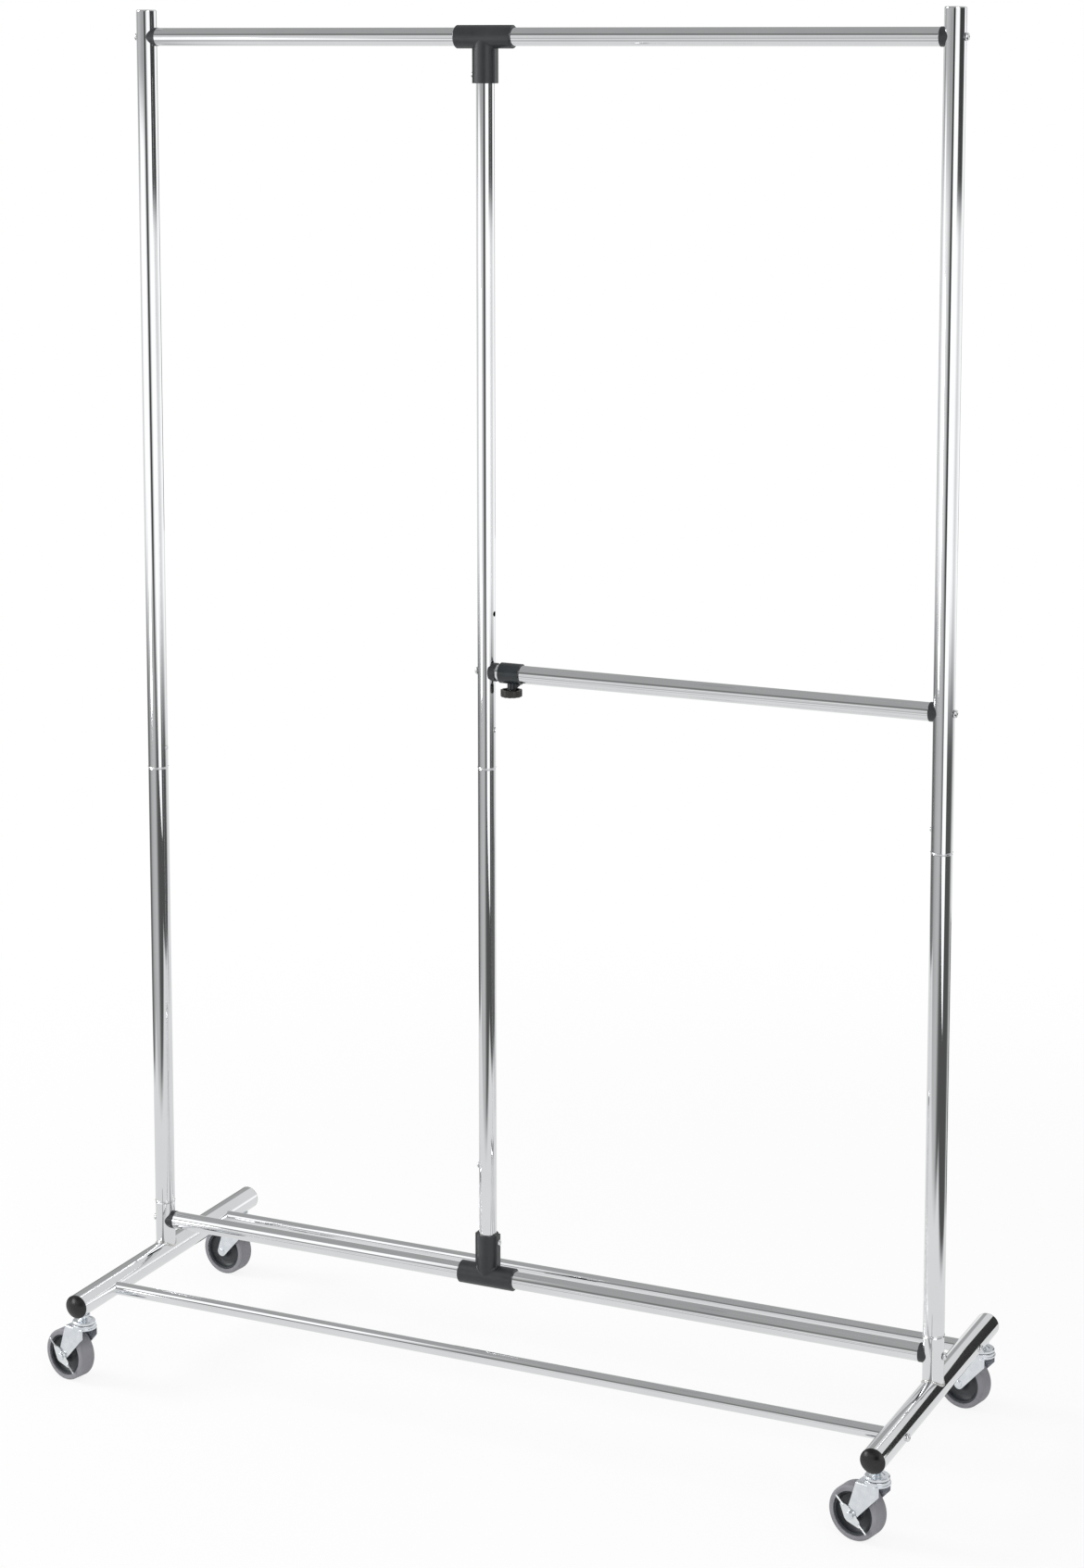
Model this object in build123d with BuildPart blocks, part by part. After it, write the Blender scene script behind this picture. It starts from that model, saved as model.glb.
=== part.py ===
"""Rolling clothes rack with a sliding divider, a telescopic half-height rail and swivel casters.

Frame: millimetres, +Z up, +X along the hanging rails, -Y the front. The origin is on the floor,
midway between the two end posts. The rack comes apart into tubes, moulded saddles and tees,
machine screws and stem casters; every one of those pieces is its own solid here.
"""

from build123d import *
import os

# ---------------------------------------------------------------- fits
slip_fit = 0.1  # radial play where one piece is pushed into another and stays there
running_fit = 0.05  # radial play where a piece turns or slides
face_gap = 0.3  # play between faces that move past each other
screw_fit = 0.05  # radial play of a screw in the thread of its nut

# ---------------------------------------------------------------- end frames
rack_height = 1720.0  # floor to the top of the post caps
post_spacing = 1054.0  # between the axes of the two end posts
post_diameter = 25.4
post_wall = 1.2
post_joint_height = 754.0  # floor to the joint between the two halves of a post
stub_height = 173.0  # floor to the joint between the welded stub and the post
spigot_length = 60.0  # reduced end of a tube, inside the next tube
swage_taper = 1.8  # height of the cone between full and reduced diameter
post_cap_rim = 2.5  # part of the cap above the end of the tube
post_cap_skirt = 8.0  # part of the cap inside the tube
post_cap_edge = 1.75
cap_wall = 1.2

foot_length = 428.0  # tube alone, without its two end caps
foot_diameter = 30.0
foot_wall = 1.5
foot_cap_rim = 2.0  # straight rim of the end cap, outside the tube
foot_cap_crown = 3.0  # height of its dome
foot_cap_plug = 9.0  # ribbed part inside the tube
foot_cap_ribs = 6
foot_cap_rib_width = 2.0

# ---------------------------------------------------------------- rails
rail_diameter = 22.0
rail_wall = 1.2
top_rail_drop = 33.5  # top of the caps down to the axis of the top rail
base_rail_height = 148.0  # floor to the axis of the base rail
mid_rail_height = 918.0  # floor to the axis of the telescopic rail
shoe_rail_diameter = 16.0
shoe_rail_wall = 1.0
shoe_rail_spacing = 278.0  # between the axes of the front and back shoe rails

# ---------------------------------------------------------------- saddles between rails and posts
saddle_diameter = 22.8
saddle_rim = 3.8  # from the face of the post to the end of the rail
post_saddle_wrap = 7.0  # how far the ears reach round an end post
divider_saddle_wrap = 4.5  # the same round the thinner divider
saddle_spigot = 12.0  # part inside the rail
saddle_edge = 0.3

# ---------------------------------------------------------------- screws
head_round = 0.7  # share of a head's height that is rounded off
bolt_diameter = 5.0
bolt_head_diameter = 9.5
bolt_head_height = 3.4
bolt_socket = 3.0  # across flats of the hexagon socket in the head
bolt_socket_depth = 1.8
nut_length = 12.0  # pressed-in nut in the end of each rail
tee_screw_diameter = 4.0
tee_screw_head = 7.6
tee_screw_head_height = 2.8
tee_screw_reach = 8.0  # length under the head

# ---------------------------------------------------------------- divider and its tees
divider_x = -56.0  # from the middle of the rack to the axis of the divider
divider_diameter = 22.0
divider_wall = 1.2
divider_joint_height = 798.0  # floor to the joint between its two halves
divider_lock_height = 290.0  # floor to the small screw on the side of the lower half
adjust_hole_diameter = 6.6
adjust_hole_pitch = 72.0  # between the three heights that the mid rail can be bolted at
tee_barrel_length = 74.5
tee_wall = 3.0  # round the rail
tee_leg_wall = 2.4  # round the divider tube
tee_leg_length = 55.0  # axis of the rail to the end of the leg
tee_tube_stop = 16.0  # axis of the rail to the seat of the divider tube
tee_cheek = 1.6  # how far the two flat pads stand out of the leg
tee_cheek_width = 10.0
tee_screw_inset = 10.0  # from the end of the leg to its screw
tee_blend = 2.5  # fillet between barrel and leg
tee_edge = 0.8

# ---------------------------------------------------------------- telescopic mid rail
inner_tube_length = 480.0
inner_tube_wall = 1.0
collar_gap = 4.7  # chrome left showing between saddle and clamp collar
collar_length = 28.0
collar_wall = 1.7
collar_lip = 2.0  # inward lip over the end of the outer tube
collar_edge = 0.7
boss_diameter = 10.0  # threaded boss under the collar
boss_drop = 19.5  # axis of the rail down to the end of the boss
boss_web = 3.0  # thickness of the web between boss and collar
stud_diameter = 6.0
knob_diameter = 26.5
knob_height = 8.3
knob_drop = 20.0  # axis of the rail down to the top of the knob
knob_cup_diameter = 20.0
knob_cup_depth = 4.5
knob_hub_diameter = 10.5
knob_flutes = 12
knob_flute_radius = 2.2
knob_flute_depth = 0.9
knob_floor = 1.8  # material under the end of the stud
knob_edge = 0.8
screw_chamfer = 0.6

# ---------------------------------------------------------------- snap buttons of the post joints
button_diameter = 6.0
button_rise = 26.0  # joint to the axis of the button
button_proud = 1.8  # height of its dome outside the post
button_flange_diameter = 8.0
button_flange = 0.8
spring_strip = 0.6
spring_width = 7.0
spring_drop = 38.0  # button axis down to the bend of the spring
spring_top = 4.0  # spring ends this far above the button's axis
spring_bend = 3.0
spring_foot_inset = 0.1

# ---------------------------------------------------------------- casters
caster_inset = 16.5  # end of the foot tube to the stem
wheel_diameter = 65.0
wheel_width = 23.0
tread_depth = 6.5  # radial thickness of the tread
tread_shoulder = 3.0
hub_rim = 2.4
hub_rim_width = 19.0
hub_web = 4.0
hub_boss_diameter = 15.0
hub_dish = 6.0  # radius of the dish between rim and web
axle_diameter = 6.0
axle_head_diameter = 9.0
axle_head_height = 1.8
caster_trail = 25.0  # swivel axis to wheel axis
fork_sheet = 2.0
fork_side_gap = 1.0  # tread to the inside of the leg
fork_wheel_gap = 7.0  # top of the wheel to the underside of the fork
fork_leg_tip = 6.5  # radius of the leg's end round the axle
fork_shoulder_back = 5.9  # axle to the back corner of the leg, along the trail
fork_shoulder_height = 6.0
fork_head_radius = 16.0  # rounded front of the fork, about the swivel axis
fork_bend = 2.4
race_diameter = 30.0
race_height = 3.7
race_gap = 0.8
upper_race_diameter = 29.0
upper_race_height = 3.4
race_edge = 1.0
ball_diameter = 3.0
ball_circle = 20.0
ball_count = 8
ball_play = 0.1
kingpin_diameter = 8.0
kingpin_head_diameter = 12.0
kingpin_head_height = 1.8
neck_diameter = 10.0
neck_cone_diameter = 18.0
neck_cone_height = 3.0
neck_height = 6.1  # top of the upper race to the socket
stem_diameter = 8.0
stem_headroom = 1.0  # top of the stem below the top of its socket
stem_groove = 0.8
socket_wall = 1.4
socket_flange_diameter = 16.0
socket_flange = 1.5

# side brake of the two front casters
brake_sheet = 1.5
brake_body_length = 30.0
brake_depth = 9.0  # below the axle
brake_crown = 4.6  # above the axle
brake_tip_width = 5.0
brake_tab_length = 10.0
brake_tab_width = 7.0
brake_tab_corner = 2.0
brake_tab_twist = 45.0
brake_slope = -42.0  # slope of the rocker when the wheel is free
brake_boss_diameter = 12.5
brake_boss_height = 1.2
brake_boss_taper = 20.0

# how far each caster has swung round its stem
swivel_angles = {"front_left": -13.0, "front_right": -13.0, "back_left": -7.0, "back_right": -13.0}

# ---------------------------------------------------------------- places worked out from the sizes
post_radius = post_diameter / 2
rail_radius = rail_diameter / 2
rail_bore = rail_radius - rail_wall
divider_radius = divider_diameter / 2
axle_height = wheel_diameter / 2
fork_under = wheel_diameter + fork_wheel_gap
fork_top = fork_under + fork_sheet
race_top = fork_top + race_height
upper_race_under = race_top + race_gap
upper_race_top = upper_race_under + upper_race_height
neck_top = upper_race_top + neck_height
foot_under = neck_top + socket_flange
foot_height = foot_under + foot_diameter / 2
top_rail_height = rack_height - top_rail_drop
right_post_x = post_spacing / 2
rail_end_x = right_post_x - post_radius - saddle_rim
mid_saddle_end_x = divider_x + divider_radius + saddle_rim
collar_start_x = mid_saddle_end_x + collar_gap
knob_x = collar_start_x + collar_length / 2
inner_radius = rail_bore - running_fit
leg_inside = wheel_width / 2 + fork_side_gap
leg_outside = leg_inside + fork_sheet
button_height = post_joint_height + button_rise
button_hole = button_diameter / 2 + running_fit
socket_radius = stem_diameter / 2 + running_fit + socket_wall
brake_back = leg_outside + face_gap
brake_front = brake_back + brake_sheet
caster_spacing = foot_length - 2 * caster_inset

sides = (("left", -1), ("right", 1))
names = []

os.makedirs("parts", exist_ok=True)


def keep(part, name):
    """Label a finished piece and write it as its own STEP file."""
    part.label = name
    export_step(part, f"parts/{name}.step")
    names.append(name)


def across(x, y, z):
    """A plane whose normal runs along +X, for tubes and screws that lie along the rack."""
    return Plane(origin=(x, y, z), x_dir=(0, 1, 0), z_dir=(1, 0, 0))


def ring(outer, inner):
    """The section of a tube, from its two radii."""
    Circle(outer)
    Circle(inner, mode=Mode.SUBTRACT)


def cross_hole(x, y, z, radius, length):
    """A hole along X, centred on the given point."""
    with Locations((x, y, z)):
        Cylinder(radius, length, rotation=(0, 90, 0), mode=Mode.SUBTRACT)


def swaged_points(radius, wall, bottom, shoulder):
    """Half section of a tube whose upper end is reduced to fit inside the next tube."""
    small = radius - wall - slip_fit
    top = shoulder + spigot_length
    cone = shoulder - swage_taper
    return (
        (radius - wall, bottom),
        (radius, bottom),
        (radius, cone),
        (small, shoulder),
        (small, top),
        (small - wall, top),
        (small - wall, shoulder),
        (radius - wall, cone),
    )


# ---------------------------------------------------------------- feet: tube, welded stub, end caps
for side, sign in sides:
    foot_x = sign * right_post_x

    with BuildPart() as foot_tube:
        with BuildSketch(Plane.XZ.offset(-foot_length / 2)):
            with Locations((foot_x, foot_height)):
                ring(foot_diameter / 2, foot_diameter / 2 - foot_wall)
        extrude(amount=foot_length)
        for end in (-1, 1):
            cross_hole(foot_x, end * shoe_rail_spacing / 2, foot_height,
                       bolt_diameter / 2 + slip_fit, foot_diameter + 2)
            with Locations((foot_x, end * caster_spacing / 2, foot_under)):
                Cylinder(socket_radius + slip_fit, foot_diameter, mode=Mode.SUBTRACT)
    keep(foot_tube.part, f"{side}_foot_tube")

    with BuildPart() as foot_stub:
        with BuildSketch(Plane.XZ):
            with BuildLine():
                Polyline(*swaged_points(post_radius, post_wall, foot_height, stub_height), close=True)
            make_face()
        revolve(axis=Axis.Z)
        with Locations((0, 0, foot_height)):
            Cylinder(foot_diameter / 2, foot_diameter * 2, rotation=(90, 0, 0), mode=Mode.SUBTRACT)
        cross_hole(0, 0, base_rail_height, bolt_diameter / 2 + slip_fit, post_diameter * 2)
    keep(foot_stub.part.moved(Location((foot_x, 0, 0))), f"{side}_foot_stub")

# The end cap is a shallow dome on a ribbed plug, made once with its dome towards -Y.
cap_radius = foot_diameter / 2
plug_radius = cap_radius - foot_wall - slip_fit - foot_cap_rib_width / 2
dome_top = -foot_cap_rim - foot_cap_crown

with BuildPart() as foot_cap:
    with BuildSketch(Plane.XY):
        with BuildLine():
            TangentArc((0, dome_top), (cap_radius, -foot_cap_rim), tangent=(1, 0))
            Polyline(
                (cap_radius, -foot_cap_rim),
                (cap_radius, 0),
                (plug_radius, 0),
                (plug_radius, foot_cap_plug),
                (plug_radius - cap_wall, foot_cap_plug),
                (plug_radius - cap_wall, 0),
                (0, 0),
                (0, dome_top),
            )
        make_face()
    revolve(axis=Axis.Y)
    with BuildSketch(Plane.XZ):
        with PolarLocations(plug_radius, foot_cap_ribs):
            Circle(foot_cap_rib_width / 2)
        Circle(plug_radius - cap_wall / 2, mode=Mode.SUBTRACT)
    extrude(amount=-foot_cap_plug)

foot_caps = []
for side, sign in sides:
    for turn in (0, 180):
        place = Location((sign * right_post_x, 0, foot_height), (0, 0, turn))
        foot_caps.append(foot_cap.part.moved(place * Location((0, -foot_length / 2, 0))))
keep(Compound(children=foot_caps), "foot_caps")

# ---------------------------------------------------------------- posts: two halves and a pressed cap
for side, sign in sides:
    post_x = sign * right_post_x
    inward = -sign

    with BuildPart() as lower_post:
        with BuildSketch(Plane.XZ):
            with BuildLine():
                Polyline(*swaged_points(post_radius, post_wall, stub_height, post_joint_height),
                         close=True)
            make_face()
        revolve(axis=Axis.Z)
        cross_hole(inward * post_radius, 0, button_height, button_hole, post_diameter)
    keep(lower_post.part.moved(Location((post_x, 0, 0))), f"{side}_lower_post")

    with BuildPart() as upper_post:
        with BuildSketch(Plane.XY.offset(post_joint_height)):
            ring(post_radius, post_radius - post_wall)
        extrude(amount=rack_height - post_cap_rim - post_joint_height)
        cross_hole(inward * post_radius, 0, button_height, button_hole, post_diameter)
        cross_hole(0, 0, top_rail_height, bolt_diameter / 2 + slip_fit, post_diameter * 2)
        if side == "right":
            cross_hole(0, 0, mid_rail_height, bolt_diameter / 2 + slip_fit, post_diameter * 2)
    keep(upper_post.part.moved(Location((post_x, 0, 0))), f"{side}_upper_post")

skirt_radius = post_radius - post_wall - slip_fit
with BuildPart() as post_cap:
    with BuildSketch(Plane.XY.offset(rack_height - post_cap_rim)):
        Circle(post_radius)
    extrude(amount=post_cap_rim)
    fillet(post_cap.edges().group_by(Axis.Z)[-1], radius=post_cap_edge)
    with BuildSketch(Plane.XY.offset(rack_height - post_cap_rim)):
        ring(skirt_radius, skirt_radius - cap_wall)
    extrude(amount=-post_cap_skirt)

post_caps = [post_cap.part.moved(Location((sign * right_post_x, 0, 0))) for side, sign in sides]
keep(Compound(children=post_caps), "post_caps")

# ---------------------------------------------------------------- rails that run between the posts
for rail, height in (("top_rail", top_rail_height), ("base_rail", base_rail_height)):
    with BuildPart() as hanging_rail:
        with BuildSketch(across(-rail_end_x, 0, height)):
            ring(rail_radius, rail_bore)
        extrude(amount=2 * rail_end_x)
    keep(hanging_rail.part, rail)

for end, y in (("front", -shoe_rail_spacing / 2), ("back", shoe_rail_spacing / 2)):
    with BuildPart() as shoe_rail:
        with BuildSketch(across(-right_post_x, y, foot_height)):
            ring(shoe_rail_diameter / 2, shoe_rail_diameter / 2 - shoe_rail_wall)
        extrude(amount=post_spacing)
        for sign in (-1, 1):
            with Locations((sign * right_post_x, y, foot_height)):
                Cylinder(foot_diameter / 2, foot_diameter * 2, rotation=(90, 0, 0), mode=Mode.SUBTRACT)
    keep(shoe_rail.part, f"{end}_shoe_rail")

# The telescopic rail: its outer tube is bolted to the right post and carries the clamp.
with BuildPart() as mid_outer_tube:
    with BuildSketch(across(collar_start_x + collar_lip, 0, mid_rail_height)):
        ring(rail_radius, rail_bore)
    extrude(amount=rail_end_x - collar_start_x - collar_lip)
    with Locations((knob_x, 0, mid_rail_height - rail_radius)):
        Cylinder(stud_diameter / 2 + slip_fit, rail_diameter, mode=Mode.SUBTRACT)
keep(mid_outer_tube.part, "mid_rail_outer_tube")

with BuildPart() as mid_inner_tube:
    with BuildSketch(across(mid_saddle_end_x, 0, mid_rail_height)):
        ring(inner_radius, inner_radius - inner_tube_wall)
    extrude(amount=inner_tube_length)
keep(mid_inner_tube.part, "mid_rail_inner_tube")


# ---------------------------------------------------------------- moulded saddles
def saddle(tube_radius, wrap, spigot_radius):
    """A saddle for a tube standing at the origin, with its spigot pointing along +X."""
    with BuildPart() as piece:
        with BuildSketch(across(tube_radius - wrap, 0, 0)):
            Circle(saddle_diameter / 2)
        extrude(amount=wrap + saddle_rim)
        chamfer(piece.edges().group_by(Axis.X)[-1], length=saddle_edge)
        with BuildSketch(across(tube_radius + saddle_rim, 0, 0)):
            Circle(spigot_radius)
        extrude(amount=saddle_spigot)
        Cylinder(tube_radius, saddle_diameter * 2, mode=Mode.SUBTRACT)
        cross_hole(tube_radius, 0, 0, bolt_diameter / 2 + slip_fit, 4 * saddle_spigot)
    return piece.part


post_saddle = saddle(post_radius, post_saddle_wrap, rail_bore - slip_fit)
divider_saddle = saddle(divider_radius, divider_saddle_wrap, inner_radius - inner_tube_wall - slip_fit)

left_seat = Location((-right_post_x, 0, 0))
right_seat = Location((right_post_x, 0, 0), (0, 0, 180))
for name, seat, height in (
    ("top_left_saddle", left_seat, top_rail_height),
    ("top_right_saddle", right_seat, top_rail_height),
    ("base_left_saddle", left_seat, base_rail_height),
    ("base_right_saddle", right_seat, base_rail_height),
    ("mid_right_saddle", right_seat, mid_rail_height),
):
    keep(post_saddle.moved(Location((0, 0, height)) * seat), name)
keep(divider_saddle.moved(Location((divider_x, 0, mid_rail_height))), "mid_left_saddle")


# ---------------------------------------------------------------- screws and pressed-in nuts
def bolt(length):
    """A dome-headed socket screw along +X, with the seat of its head at the origin."""
    with BuildPart() as piece:
        with BuildSketch(across(0, 0, 0)):
            Circle(bolt_head_diameter / 2)
        extrude(amount=-bolt_head_height)
        fillet(piece.edges().group_by(Axis.X)[0], radius=head_round * bolt_head_height)
        with BuildSketch(across(-bolt_head_height, 0, 0)):
            RegularPolygon(bolt_socket / 2, 6, major_radius=False)
        extrude(amount=bolt_socket_depth, mode=Mode.SUBTRACT)
        with BuildSketch(across(0, 0, 0)):
            Circle(bolt_diameter / 2)
        extrude(amount=length)
    return piece.part


def press_nut(radius):
    """A round nut along +X, pressed into the end of a rail."""
    with BuildPart() as piece:
        with BuildSketch(across(0, 0, 0)):
            ring(radius, bolt_diameter / 2 + screw_fit)
        extrude(amount=nut_length)
    return piece.part


post_bolt = bolt(post_diameter + saddle_rim + saddle_spigot + nut_length)
post_nut = press_nut(rail_bore - slip_fit)
shoe_bolt = bolt(foot_diameter + nut_length)
shoe_nut = press_nut(shoe_rail_diameter / 2 - shoe_rail_wall - slip_fit)
divider_bolt = bolt(divider_diameter + saddle_rim + saddle_spigot + nut_length)
divider_nut = press_nut(inner_radius - inner_tube_wall - slip_fit)

bolt_seats, nut_seats = [], []
for side, sign in sides:
    turn = Location((0, 0, 0), (0, 0, 0 if side == "left" else 180))
    for height in (top_rail_height, base_rail_height) + ((mid_rail_height,) if side == "right" else ()):
        bolt_seats.append(post_bolt.moved(Location((0, 0, height)) * turn
                                          * Location((-right_post_x - post_radius, 0, 0))))
        nut_seats.append(post_nut.moved(Location((0, 0, height)) * turn
                                        * Location((-rail_end_x + saddle_spigot, 0, 0))))
    for y in (-shoe_rail_spacing / 2, shoe_rail_spacing / 2):
        bolt_seats.append(shoe_bolt.moved(Location((0, y, foot_height)) * turn
                                          * Location((-right_post_x - foot_diameter / 2, 0, 0))))
        nut_seats.append(shoe_nut.moved(Location((0, y, foot_height)) * turn
                                        * Location((-right_post_x + foot_diameter / 2, 0, 0))))
keep(Compound(children=bolt_seats), "frame_bolts")
keep(Compound(children=nut_seats), "rail_nuts")
divider_fasteners = [
    divider_bolt.moved(Location((divider_x - divider_radius, 0, mid_rail_height))),
    divider_nut.moved(Location((mid_saddle_end_x + saddle_spigot, 0, mid_rail_height))),
]

# ---------------------------------------------------------------- clamp collar, screw and knob
collar_radius = rail_radius + collar_wall
collar_axis = across(collar_start_x, 0, mid_rail_height)

with BuildPart() as clamp_collar:
    with BuildSketch(collar_axis):
        Circle(collar_radius)
    extrude(amount=collar_length)
    chamfer(clamp_collar.edges().group_by(Axis.X)[0], length=collar_edge)
    with BuildSketch(Plane.XY.offset(mid_rail_height - boss_drop)):
        with Locations((knob_x, 0)):
            Circle(boss_diameter / 2)
    extrude(amount=boss_drop)
    with BuildSketch(Plane.XZ):
        with BuildLine():
            Polyline(
                (knob_x, mid_rail_height),
                (knob_x, mid_rail_height - boss_drop),
                (knob_x + boss_diameter / 2, mid_rail_height - boss_drop),
                (collar_start_x + collar_length, mid_rail_height - collar_radius + collar_wall / 2),
                (collar_start_x + collar_length, mid_rail_height),
                close=True,
            )
        make_face()
    extrude(amount=boss_web / 2, both=True)
    with BuildSketch(collar_axis):
        Circle(inner_radius + face_gap)
    extrude(amount=collar_length, mode=Mode.SUBTRACT)
    with BuildSketch(collar_axis.offset(collar_lip)):
        Circle(rail_radius + slip_fit)
    extrude(amount=collar_length, mode=Mode.SUBTRACT)
    with Locations((knob_x, 0, mid_rail_height - boss_drop)):
        Cylinder(stud_diameter / 2 + running_fit, rail_diameter, mode=Mode.SUBTRACT)
keep(clamp_collar.part, "clamp_collar")

stud_top = mid_rail_height - inner_radius - slip_fit
knob_top = mid_rail_height - knob_drop
knob_under = knob_top - knob_height
with BuildPart() as clamp_screw:
    with BuildSketch(Plane.XY.offset(knob_under + knob_floor)):
        with Locations((knob_x, 0)):
            Circle(stud_diameter / 2)
    extrude(amount=stud_top - knob_under - knob_floor)
    chamfer(clamp_screw.edges().group_by(Axis.Z)[-1], length=screw_chamfer)
keep(clamp_screw.part, "clamp_screw")

with BuildPart() as clamp_knob:
    with BuildSketch(Plane.XY.offset(knob_under)):
        Circle(knob_diameter / 2)
        with PolarLocations(knob_diameter / 2 + knob_flute_radius - knob_flute_depth, knob_flutes):
            Circle(knob_flute_radius, mode=Mode.SUBTRACT)
    extrude(amount=knob_height)
    chamfer(clamp_knob.faces().sort_by(Axis.Z)[0].edges(), length=knob_edge)
    with BuildSketch(Plane.XY.offset(knob_top)):
        ring(knob_cup_diameter / 2, knob_hub_diameter / 2)
    extrude(amount=-knob_cup_depth, mode=Mode.SUBTRACT)
    with BuildSketch(Plane.XY.offset(knob_under + knob_floor)):
        Circle(stud_diameter / 2 + running_fit)
    extrude(amount=knob_height, mode=Mode.SUBTRACT)
keep(clamp_knob.part.moved(Location((knob_x, 0, 0))), "clamp_knob")

# ---------------------------------------------------------------- divider: two halves and two tees
tee_screw_hole = tee_screw_diameter / 2 + slip_fit
top_leg_end = top_rail_height - tee_leg_length
base_leg_end = base_rail_height + tee_leg_length

with BuildPart() as divider_lower:
    with BuildSketch(Plane.XZ):
        with BuildLine():
            Polyline(*swaged_points(divider_radius, divider_wall, base_rail_height + tee_tube_stop,
                                    divider_joint_height), close=True)
        make_face()
    revolve(axis=Axis.Z)
    cross_hole(divider_radius, 0, base_leg_end - tee_screw_inset, tee_screw_hole, divider_diameter)
    cross_hole(-divider_radius, 0, divider_lock_height, tee_screw_hole, divider_diameter)
keep(divider_lower.part.moved(Location((divider_x, 0, 0))), "divider_lower_tube")

with BuildPart() as divider_upper:
    with BuildSketch(Plane.XY.offset(divider_joint_height)):
        ring(divider_radius, divider_radius - divider_wall)
    extrude(amount=top_rail_height - tee_tube_stop - divider_joint_height)
    cross_hole(-divider_radius, 0, top_leg_end + tee_screw_inset, tee_screw_hole, divider_diameter)
    cross_hole(0, 0, mid_rail_height, bolt_diameter / 2 + slip_fit, divider_diameter * 2)
    for step in (-1, 1):
        cross_hole(0, 0, mid_rail_height + step * adjust_hole_pitch, adjust_hole_diameter / 2,
                   divider_diameter * 2)
keep(divider_upper.part.moved(Location((divider_x, 0, 0))), "divider_upper_tube")


def tee(screw_side):
    """A moulded tee with its barrel along X through the origin and its leg pointing down."""
    outer = rail_radius + tee_wall
    leg_outer = divider_radius + tee_leg_wall
    with BuildPart() as piece:
        with BuildSketch(across(-tee_barrel_length / 2, 0, 0)):
            Circle(outer)
        extrude(amount=tee_barrel_length)
        chamfer(piece.edges().filter_by(GeomType.CIRCLE), length=tee_edge)
        with BuildSketch(Plane.XY):
            Circle(leg_outer)
        extrude(amount=-tee_leg_length)
        fillet(piece.edges().filter_by(GeomType.BSPLINE), radius=tee_blend)  # barrel meets leg
        with BuildSketch(Plane.XY.offset(-tee_leg_length)):
            Rectangle(2 * (leg_outer + tee_cheek), tee_cheek_width)
        extrude(amount=tee_leg_length)
        with BuildSketch(across(-tee_barrel_length / 2, 0, 0)):
            Circle(rail_radius + running_fit)
        extrude(amount=tee_barrel_length, mode=Mode.SUBTRACT)
        with BuildSketch(Plane.XY.offset(-tee_leg_length)):
            Circle(divider_radius + slip_fit)
        extrude(amount=tee_leg_length - tee_tube_stop, mode=Mode.SUBTRACT)
        cross_hole(screw_side * leg_outer, 0, -tee_leg_length + tee_screw_inset, tee_screw_hole,
                   leg_outer)
    return piece.part


keep(tee(-1).moved(Location((divider_x, 0, top_rail_height))), "top_tee")
keep(tee(-1).moved(Location((divider_x, 0, base_rail_height), (0, 180, 0))), "base_tee")

# Small self-tapping screws, made along +X with the seat of the head at the origin.
with BuildPart() as tee_screw:
    with BuildSketch(across(0, 0, 0)):
        Circle(tee_screw_head / 2)
    extrude(amount=-tee_screw_head_height)
    fillet(tee_screw.edges().group_by(Axis.X)[0], radius=head_round * tee_screw_head_height)
    with BuildSketch(across(0, 0, 0)):
        Circle(tee_screw_diameter / 2)
    extrude(amount=tee_screw_reach)

tee_pad = divider_radius + tee_leg_wall + tee_cheek
divider_fasteners += [
    tee_screw.part.moved(Location((divider_x - tee_pad, 0, top_leg_end + tee_screw_inset))),
    tee_screw.part.moved(Location((divider_x - divider_radius, 0, divider_lock_height))),
    tee_screw.part.moved(Location((divider_x + tee_pad, 0, base_leg_end - tee_screw_inset), (0, 180, 0))),
]
keep(Compound(children=divider_fasteners), "divider_fasteners")

# ---------------------------------------------------------------- snap buttons of the post joints
spigot_bore = post_radius - 2 * post_wall - slip_fit
flange_front = (spigot_bore ** 2 - (button_flange_diameter / 2) ** 2) ** 0.5 - face_gap / 2
flange_back = flange_front - button_flange
spring_foot = (spigot_bore ** 2 - (spring_width / 2) ** 2) ** 0.5 - spring_strip / 2 - spring_foot_inset

with BuildPart() as snap_button:
    with BuildSketch(across(flange_back, 0, 0)):
        Circle(button_flange_diameter / 2)
    extrude(amount=button_flange)
    with BuildSketch(across(flange_back, 0, 0)):
        Circle(button_diameter / 2)
    extrude(amount=post_radius + button_proud - flange_back)
    fillet(snap_button.edges().group_by(Axis.X)[-1], radius=button_proud)

with BuildPart() as button_spring:
    with BuildSketch(Plane.XZ):
        with BuildLine() as leaf:
            FilletPolyline(
                (flange_back - spring_strip / 2, spring_top),
                (flange_back - spring_strip / 2, -button_diameter),
                (0, -spring_drop),
                (-spring_foot, -button_diameter),
                (-spring_foot, spring_top),
                radius=spring_bend,
            )
        trace(line_width=spring_strip)
    extrude(amount=spring_width / 2, both=True)

for side, sign in sides:
    seat = Location((sign * right_post_x, 0, button_height), (0, 0, 0 if side == "left" else 180))
    keep(snap_button.part.moved(seat), f"{side}_snap_button")
    keep(button_spring.part.moved(seat), f"{side}_button_spring")

# ---------------------------------------------------------------- casters
# One caster is modelled on its own stem axis at x = y = 0, standing on z = 0 and trailing
# towards -X. Four copies are then set under the feet, each swung a little round its stem.
ball_radius = ball_diameter / 2
groove_radius = ball_radius + ball_play
ball_height = race_top + race_gap / 2
kingpin_bore = kingpin_diameter / 2 + running_fit

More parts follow.
